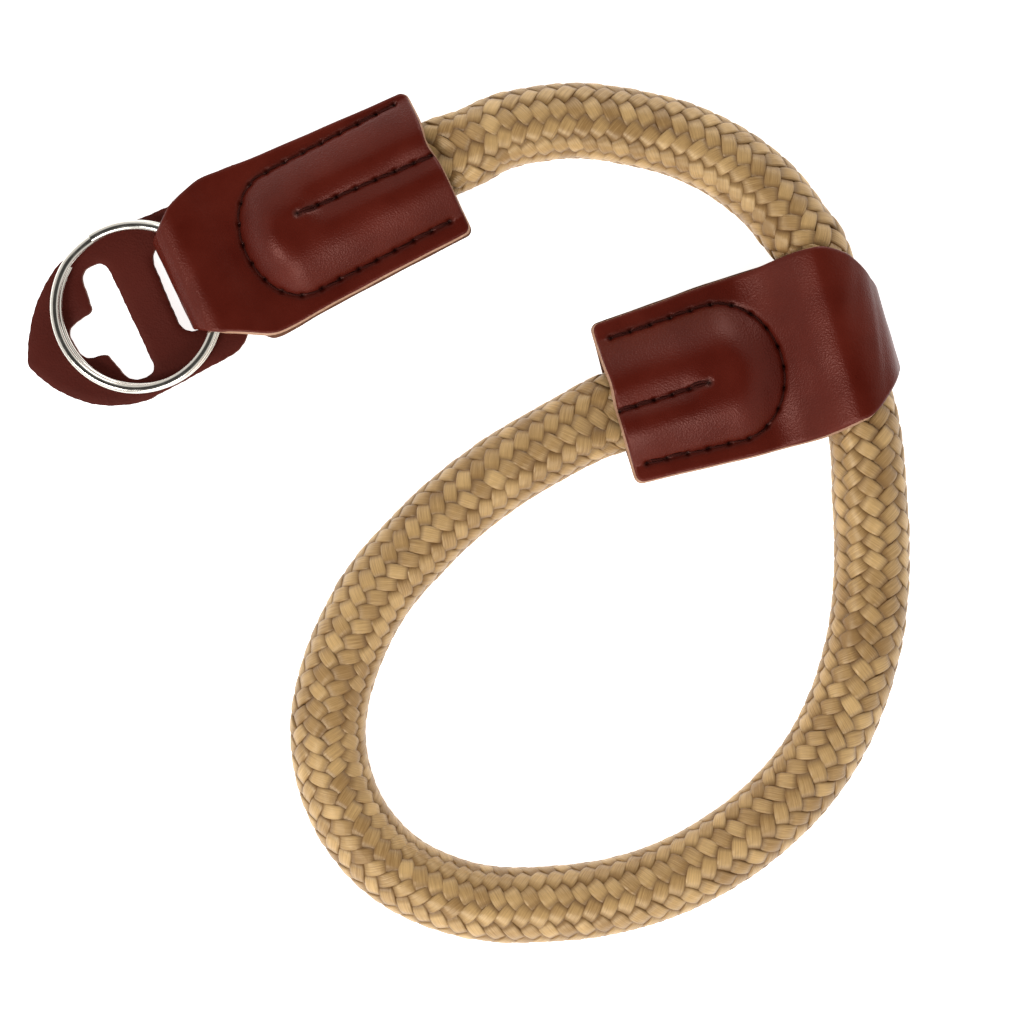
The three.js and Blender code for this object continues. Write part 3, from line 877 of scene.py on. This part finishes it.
def yarn_profile():
    """A flat yarn's section with most of its points on the side that shows."""
    top = math.pi * np.arange(YARN_TOP_SIDES) / YARN_TOP_SIDES
    under = math.pi + math.pi * np.arange(YARN_UNDER_SIDES) / YARN_UNDER_SIDES
    turn = np.concatenate([top, under])
    return superellipse(FLOAT_WIDTH / 2, YARN_THICKNESS / 2, turn, YARN_SQUARENESS)


def crest_light(wave, profile):
    """How open to the light each point of a yarn is: 1 on top of a float and 0 below. The yarn colour uses
    it as painted light and shade, darkest at the float ends, sides and undersides.
    """
    aside = np.abs(profile[:, 0]) * 2 / FLOAT_WIDTH
    open_side = np.where(profile[:, 1] > 0, 1 - CREST_EDGE_SHADE * aside**CREST_EDGE_POWER, 0)
    return smoothstep(wave, CREST_LOW, CREST_HIGH)[..., None] * open_side


def braid_yarns(line, even, hand):
    """Points of all yarns that run one way round the rope: hand is 1 or -1."""
    length = even[-1]
    waves = length / LAY_LENGTH * 2 * CARRIERS / FLOAT_CROSSINGS
    place = np.linspace(0, length, round(waves * STEPS_PER_WAVE))

    def wobbles(wobble):
        return np.stack([wander(place, *wobble) for _ in range(CARRIERS)])

    centre, sideways, upwards = path_frames(line, even, place)
    thin = squeeze_share(place, line, even)
    twist = math.radians(BRAID_TWIST_DEG) * place / length
    carrier = np.arange(CARRIERS)[:, None] / CARRIERS
    column = (carrier + hand * lay_turns(place)) * 2 * CARRIERS
    phase = math.tau * (column - 0.5) / FLOAT_CROSSINGS
    rise = hand * np.cos(phase)
    wave = np.tanh(WEAVE_SHARPNESS * rise) / math.tanh(WEAVE_SHARPNESS)
    loose = wobbles(YARN_HEIGHT_WOBBLE)
    radius = (ROPE_ROUND - YARN_THICKNESS / 2 + WEAVE_HEIGHT * (wave - 1) + loose) * thin
    course = twist + wobbles(YARN_COURSE_WOBBLE)
    angle = (column + FLOAT_LEAN * hand * np.sin(phase)) * math.pi / CARRIERS + course
    outwards = np.cos(angle)[..., None] * sideways + np.sin(angle)[..., None] * upwards
    centres = centre + radius[..., None] * outwards
    tangent = unit(np.gradient(centres, axis=1))
    across = unit(np.cross(tangent, outwards))
    lift = np.cross(across, tangent)
    profile = yarn_profile()
    widths = np.interp(rise, (-1, 0, 1), (UNDER_WIDTH, CROSSING_WIDTH, FLOAT_WIDTH))
    wide = widths / FLOAT_WIDTH * (1 + wobbles(YARN_WIDTH_WOBBLE))
    sized = profile * np.stack([wide, np.ones_like(wide)], -1)[:, :, None, :]
    points = sweep(centres, across, lift, sized)
    tone = wobbles(YARN_TONE_WOBBLE)
    shade = (random.uniform(0, 1, (CARRIERS, 1)) + tone)[..., None]
    along = place[:, None] * YARN_PER_ROPE
    along, aside, shade = np.broadcast_arrays(along, profile[:, 0] / FLOAT_WIDTH, shade)
    return points, np.stack([along, aside], -1), shade, crest_light(wave, profile)


def rope_yarns(name, line, even, hand, material):
    """The yarns of one hand, as two meshes with every second yarn each."""
    points, uv, shade, painted_crest_light = braid_yarns(line, even, hand)
    steps, sides = points.shape[1:3]
    made = []
    for part, label in enumerate(("_even", "_odd")):
        own = points[part::2]
        faces = tube_faces(len(own), steps, sides)
        piece = mesh_object(name + label, press_rope(own), faces, [material])
        add_uv(piece.data, "yarn", uv[part::2].reshape(-1, 2))
        add_point_values(piece.data, "shade", shade[part::2])
        # the painted light share of each point, used as painted shade in the yarn colour
        add_point_values(piece.data, "painted_crest_light", painted_crest_light[part::2])
        made.append(piece)
    return made


# A dark tube inside the yarns, painted as the shade inside the braid.
def rope_core(name, line, even, material):
    place = np.linspace(0, even[-1], CORE_STEPS)
    centre, sideways, upwards = path_frames(line, even, place)
    profile = superellipse(CORE_RADIUS, CORE_RADIUS, full_turn(CORE_SIDES))
    points = press_rope(sweep(centre, sideways, upwards, profile))
    return mesh_object(name, points, tube_faces(1, CORE_STEPS, CORE_SIDES), [material])


def split_ring(name, material):
    """Two turns of wire that change level at the crossing, the lower one pushed slightly aside."""
    first_turn = 360 - CROSSING_DEG
    steps = round((first_turn + 360) / COIL_STEP_DEG)
    turned = np.linspace(0, first_turn + 360, steps)
    climbed = smoothstep(turned, first_turn, 360)
    angle = np.radians(CROSSING_START_DEG + CROSSING_DEG + turned)
    outwards = np.stack([np.cos(angle), np.sin(angle), np.zeros_like(angle)], -1)
    centres = outwards * (RING_DIAMETER - WIRE_WIDTH) / 2
    lower = LOWER_TURN_SHIFT * (1 - climbed)
    shift_turn = math.radians(LOWER_TURN_DIRECTION_DEG)
    centres[:, 0] += lower * math.cos(shift_turn)
    centres[:, 1] += lower * math.sin(shift_turn)
    centres[:, 2] = TURN_PITCH * (climbed - 0.5)
    upwards = np.broadcast_to(UP, outwards.shape)
    profile = superellipse(WIRE_WIDTH / 2, WIRE_HEIGHT / 2, full_turn(WIRE_SIDES))
    points = sweep(centres, outwards, upwards, profile).reshape(-1, 3)
    faces = [face[::-1] for face in tube_faces(1, steps, WIRE_SIDES)]
    height = LEATHER + GAP + (TURN_PITCH + WIRE_HEIGHT) / 2
    place = Matrix.Translation((RING_FROM_FOLD, RING_SIDE, height))
    turn = Matrix.Rotation(-math.radians(RING_TAB.heading), 4, "Z")
    placed = moved(points, ring_frame() @ place @ turn)
    return mesh_object(name, placed, faces, [material], sharp_deg=SHARP_DEG)


def curve(points):
    """Points at about even steps along a curve with the given control points, without its end."""
    points = np.array(points)
    degree = len(points) - 1
    count = round(line_lengths(points)[-1] / GUARD_POINT_STEP)
    share = np.linspace(0, 1, count, endpoint=False)[:, None]
    weights = [math.comb(degree, i) * share**i * (1 - share) ** (degree - i) for i in range(degree + 1)]
    return sum(weight * point for weight, point in zip(weights, points))


def rounded_outline(corners):
    """A closed outline through corners (x, y, rounding)."""
    table = np.array(corners)
    places = table[:, :2]
    before = places + unit(np.roll(places, 1, axis=0) - places) * table[:, 2:]
    after = places + unit(np.roll(places, -1, axis=0) - places) * table[:, 2:]
    runs = []
    for start, place, end, following in zip(before, places, after, np.roll(before, -1, axis=0)):
        runs += [curve([start, place, end]), curve([end, following])]
    return np.concatenate(runs)


def inside_outline(outline, points):
    """Which points lie inside a closed outline."""
    inside = np.zeros(len(points), bool)
    for (x0, y0), (x1, y1) in zip(outline, np.roll(outline, -1, axis=0)):
        crosses = (points[:, 1] < y0) != (points[:, 1] < y1)
        if y0 != y1:
            inside ^= crosses & (points[:, 0] < x0 + (points[:, 1] - y0) * (x1 - x0) / (y1 - y0))
    return inside


def on_sheet(outlines, points):
    """Which points lie inside the first outline and outside the others."""
    inside = inside_outline(outlines[0], points)
    for outline in outlines[1:]:
        inside &= ~inside_outline(outline, points)
    return inside


def border_gap(border, points):
    return np.array([np.hypot(*(border - point).T).min() for point in points])


def guard_sheet(outlines):
    """Flat points, upward triangles and border edges of the sheet between the outlines."""
    border = np.concatenate(outlines)
    ranges = [np.arange(a, b, GUARD_FILL_STEP) for a, b in zip(outlines[0].min(0), outlines[0].max(0))]
    fill = np.stack(np.meshgrid(*ranges), -1).reshape(-1, 2)
    fill = fill[on_sheet(outlines, fill) & (border_gap(border, fill) > GUARD_FILL_STEP / 2)]
    edges = []
    start = 0
    for outline in outlines:
        own = np.arange(len(outline)) + start
        edges.extend(zip(own.tolist(), np.roll(own, -1).tolist()))
        start += len(outline)
    points = [Vector(point) for point in np.concatenate([border, fill]).tolist()]
    flat, _, triangles, *_ = delaunay_2d_cdt(points, edges, [], 0, GUARD_WELD)
    flat = np.array([tuple(point) for point in flat])
    triangles = np.array(triangles)
    triangles = triangles[on_sheet(outlines, flat[triangles].mean(1))]
    corners = flat[triangles]
    turned = np.linalg.det(corners[:, 1:] - corners[:, :1]) < 0
    triangles[turned] = triangles[turned][:, ::-1]
    return flat, triangles, edges


def ring_guard(name, materials):
    """The leather guard: a flat sheet with a strip slot, a lug slot and raw edges."""
    border = np.concatenate([curve(points) for points in GUARD_OUTLINE])
    outlines = [border, rounded_outline(STRIP_SLOT), rounded_outline(LUG_SLOT)]
    for outline in outlines:
        away = unit(np.stack([np.gradient(outline[:, 1]), -np.gradient(outline[:, 0])], -1))
        outline += away * wander(line_lengths(outline), *GUARD_EDGE_WOBBLE)[:, None]
    flat, triangles, edges = guard_sheet(outlines)
    to_border = border_gap(np.concatenate(outlines), flat)
    drop = EDGE_DROP * np.clip(1 - to_border / EDGE_ROUND, 0, 1) ** 2
    wave = wander_plane(flat[:, 0], flat[:, 1], *GUARD_WOBBLE)
    top = np.column_stack([flat, LEATHER - drop + wave])
    bottom = np.column_stack([flat, drop])
    count = len(flat)
    rims = [[b, a, a + count, b + count] for a, b in edges]
    faces = triangles.tolist() + (triangles[:, ::-1] + count).tolist() + rims
    kinds = np.repeat((SKIN_FACE, FLESH_FACE, RIM_FACE), (len(triangles), len(triangles), len(rims)))
    place = Matrix.Translation((0, GUARD_SIDE, 0)) @ Matrix.Rotation(math.radians(GUARD_TURN), 4, "Z")
    points = moved(np.concatenate([top, bottom]), ring_frame() @ place)
    return mesh_object(name, points, faces, materials, kinds, SHARP_DEG)


# Materials


def put(socket, value):
    if isinstance(value, bpy.types.NodeSocket):
        socket.id_data.links.new(value, socket)
    else:
        socket.default_value = value


def node(tree, kind, settings=None, **inputs):
    """A shader node. Values that are sockets are linked and the rest are set."""
    made = tree.nodes.new("ShaderNode" + kind)
    for key, value in (settings or {}).items():
        setattr(made, key, value)
    for key, value in inputs.items():
        put(made.inputs[key.replace("_", " ")], value)
    return made


def weighted(tree, values, weights):
    """The sum of values times their weights."""
    total = 0.0
    for value, weight in zip(values, weights):
        made = node(tree, "Math", {"operation": "MULTIPLY_ADD"})
        for socket, term in zip(made.inputs, (value, weight, total)):
            put(socket, term)
        total = made.outputs[0]
    return total


def blend(tree, share, first, second):
    made = node(tree, "Mix", {"data_type": "RGBA"})
    sockets = {socket.identifier: socket for socket in made.inputs}
    put(sockets["Factor_Float"], share)
    put(sockets["A_Color"], first)
    put(sockets["B_Color"], second)
    return next(socket for socket in made.outputs if socket.identifier == "Result_Color")


def spread(tree, value, low, high, new_low=0.0, new_high=1.0):
    ends = {"From_Min": low, "From_Max": high, "To_Min": new_low, "To_Max": new_high}
    return node(tree, "MapRange", {"clamp": True}, Value=value, **ends).outputs["Result"]


def stretched(tree, place, scale):
    """Places times a scale for each axis or one for all."""
    return node(tree, "Mapping", Vector=place, Scale=np.broadcast_to(scale, 3)).outputs["Vector"]


def noise(tree, place, scale, detail, roughness=0.55):
    place = stretched(tree, place, scale)
    made = node(tree, "TexNoise", Vector=place, Scale=1.0, Detail=detail, Roughness=roughness)
    return made.outputs["Fac"]


def bump(tree, height, distance, strength):
    return node(tree, "Bump", Height=height, Distance=distance, Strength=strength).outputs["Normal"]


def object_place(tree):
    return node(tree, "TexCoord").outputs["Object"]


def attribute(tree, name):
    return node(tree, "Attribute", {"attribute_name": name}).outputs["Fac"]


def new_material(name, constants):
    """A material with one surface shader, its constants set on the shader's own sockets."""
    made = bpy.data.materials.new(name)
    made.use_nodes = True
    tree = made.node_tree
    shader = tree.nodes["Principled BSDF"]
    for key, value in constants.items():
        shader.inputs[key].default_value = value
    return made, tree, shader.inputs


def yarn_material(name):
    """Satin yarn: fine filaments along it, a gloss that spreads across them, and painted shade at the float
    ends and in the creases.
    """
    look = YARN_LOOK
    made, tree, shader = new_material(name, look.shader)
    uv = node(tree, "UVMap", {"uv_map": "yarn"}).outputs["UV"]
    fibres = noise(tree, uv, *look.fibres)
    patches = noise(tree, object_place(tree), *look.patches)
    tone = weighted(tree, (fibres, patches, attribute(tree, "shade")), look.weights)
    colour = blend(tree, spread(tree, tone, *look.tone), *look.colours)
    tangent = node(tree, "Tangent", {"direction_type": "UV_MAP", "uv_map": "yarn"})
    # Painted shade: the crest share blends the yarn colour towards the crease colour at float ends, sides
    # and undersides.
    put(shader["Base Color"], blend(tree, attribute(tree, "painted_crest_light"), look.crease, colour))
    put(shader["Roughness"], spread(tree, fibres, *look.roughness))
    put(shader["Normal"], bump(tree, fibres, *look.bump))
    put(shader["Tangent"], tangent.outputs["Tangent"])
    return made


def patterned_material(name, look, colours):
    """A material whose colour follows its patterns, and its gloss and bumps the first of them."""
    made, tree, shader = new_material(name, look.shader)
    place = object_place(tree)
    patterns = [noise(tree, place, *pattern) for pattern in look.patterns]
    tone = spread(tree, weighted(tree, patterns, look.weights), *look.tone)
    put(shader["Base Color"], blend(tree, tone, *colours))
    if hasattr(look, "roughness"):
        put(shader["Roughness"], spread(tree, patterns[0], *look.roughness))
    if hasattr(look, "bump"):
        put(shader["Normal"], bump(tree, patterns[0], *look.bump))
    return made


def leather_material(name, finish):
    """Grained leather, with painted shade at the needle holes and along the seams."""
    look = LEATHER_LOOK
    made, tree, shader = new_material(name, look.shader)
    place = object_place(tree)
    cells = node(tree, "TexVoronoi", {"feature": "SMOOTH_F1"}, Vector=place, **look.cells)
    fine, broad, cloud = (noise(tree, place, *kind) for kind in (look.fine, look.broad, look.cloud))
    tone = weighted(tree, (broad, cloud), look.weights)
    colour = blend(tree, spread(tree, tone, *look.tone), *finish.colours)
    grain = weighted(tree, (cells.outputs["Distance"], fine), look.grain_weights)
    # Painted shade: the seam attribute darkens the skin towards the hole colour at the needle holes and
    # along the sewn line.
    put(shader["Base Color"], blend(tree, attribute(tree, "seam"), colour, look.hole))
    put(shader["Roughness"], spread(tree, broad, *look.gloss, *finish.roughness))
    put(shader["Normal"], bump(tree, grain, look.grain_depth, finish.grain_strength))
    return made


def thread_material(name):
    look = THREAD_LOOK
    made, tree, shader = new_material(name, look.shader)
    uv = node(tree, "UVMap", {"uv_map": "thread"}).outputs["UV"]
    place = stretched(tree, uv, look.stretch)
    twist = node(tree, "TexWave", {"bands_direction": "DIAGONAL"}, Vector=place, Scale=1.0).outputs["Fac"]
    put(shader["Base Color"], blend(tree, twist, *look.colours))
    put(shader["Normal"], bump(tree, twist, *look.bump))
    return made


# Stage


def add_floor():
    corners = ((-1, -1), (1, -1), (1, 1), (-1, 1))
    points = [(x * FLOOR_HALF, y * FLOOR_HALF, FLOOR_HEIGHT) for x, y in corners]
    material = patterned_material("pale_floor", FLOOR_LOOK, FLOOR_COLOURS)
    floor = mesh_object("floor", points, [range(len(points))], [material])


def add_camera():
    camera = bpy.data.cameras.new("camera")
    camera.lens = CAMERA_LENS
    camera.sensor_width = CAMERA_SENSOR
    camera.clip_start = CAMERA_CLIP_START
    bpy.context.scene.camera = place_in_scene("camera", camera, CAMERA_PLACE)


def add_world():
    """Soft light from all sides that darkens towards the zenith, as in a light tent."""
    world = bpy.data.worlds.new("soft_studio")
    bpy.context.scene.world = world
    world.use_nodes = True
    tree = world.node_tree
    direction = node(tree, "TexCoord").outputs["Generated"]
    height = node(tree, "SeparateXYZ", Vector=direction).outputs["Z"]
    background = tree.nodes["Background"].inputs
    put(background["Color"], SKY_COLOUR)
    put(background["Strength"], spread(tree, height, *SKY_RANGE))


def add_softbox(name, place, size, power):
    lamp = bpy.data.lights.new(name, "AREA")
    lamp.shape = "DISK"
    lamp.size = size
    lamp.energy = power
    made = place_in_scene(name, lamp, place)
    made.rotation_euler = Vector(place).to_track_quat("Z", "Y").to_euler()


def carried(piece, body, slot, *nodes):
    """The piece rides on a body and stands for its nodes, which it hides. The slot is not used."""
    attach(piece, body)
    if nodes:
        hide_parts(*nodes)


add_camera()

rope_line, rope_even = rope_path()
yarn = yarn_material("tan_yarn")
# painted shade for the inside of the braid
core_material = patterned_material("rope_core", CORE_LOOK, CORE_SHADE_COLOURS)
core = rope_core("rope_core", rope_line, rope_even, core_material)
rope_pieces = rope_yarns("rope_yarns_left", rope_line, rope_even, 1, yarn)
rope_pieces += rope_yarns("rope_yarns_right", rope_line, rope_even, -1, yarn)
rope_pieces.append(core)
carried(rope_pieces[0], "strap", "rope", "braided_rope")
for piece in rope_pieces[1:]:
    carried(piece, "strap", "rope")

skin = leather_material("brown_leather", SKIN_LOOK)
guard_skin = leather_material("matt_brown_leather", GUARD_LOOK)
tan_edge = patterned_material("raw_edge", RAW_LOOK, TAN_EDGE_COLOURS)
brown_edge = patterned_material("brown_raw_edge", RAW_LOOK, BROWN_EDGE_COLOURS)
flesh = patterned_material("flesh_side", RAW_LOOK, FLESH_COLOURS)
thread = thread_material("dark_thread")
for tab_name, tab in (("ring_tab", RING_TAB), ("slider_tab", SLIDER_TAB)):
    surface = tab_surface(tab)
    leather = leather_tab(tab_name + "_leather", tab, surface, [skin, tan_edge, flesh])
    carried(leather, "strap", "leather", tab_name)
    carried(stitches(tab_name + "_stitches", tab, surface, thread), "strap", "leather")

carried(ring_guard("guard_leather", [guard_skin, brown_edge, flesh]), "strap", "leather", "ring_guard")
metal = patterned_material("nickel_plate", METAL_LOOK, METAL_COLOURS)
carried(split_ring("ring_wire", metal), "ring", "steel", "split_ring")

add_floor()
add_world()
for name, settings in SOFTBOXES.items():
    add_softbox(name, *settings)
bpy.context.scene.view_settings.view_transform = "Standard"
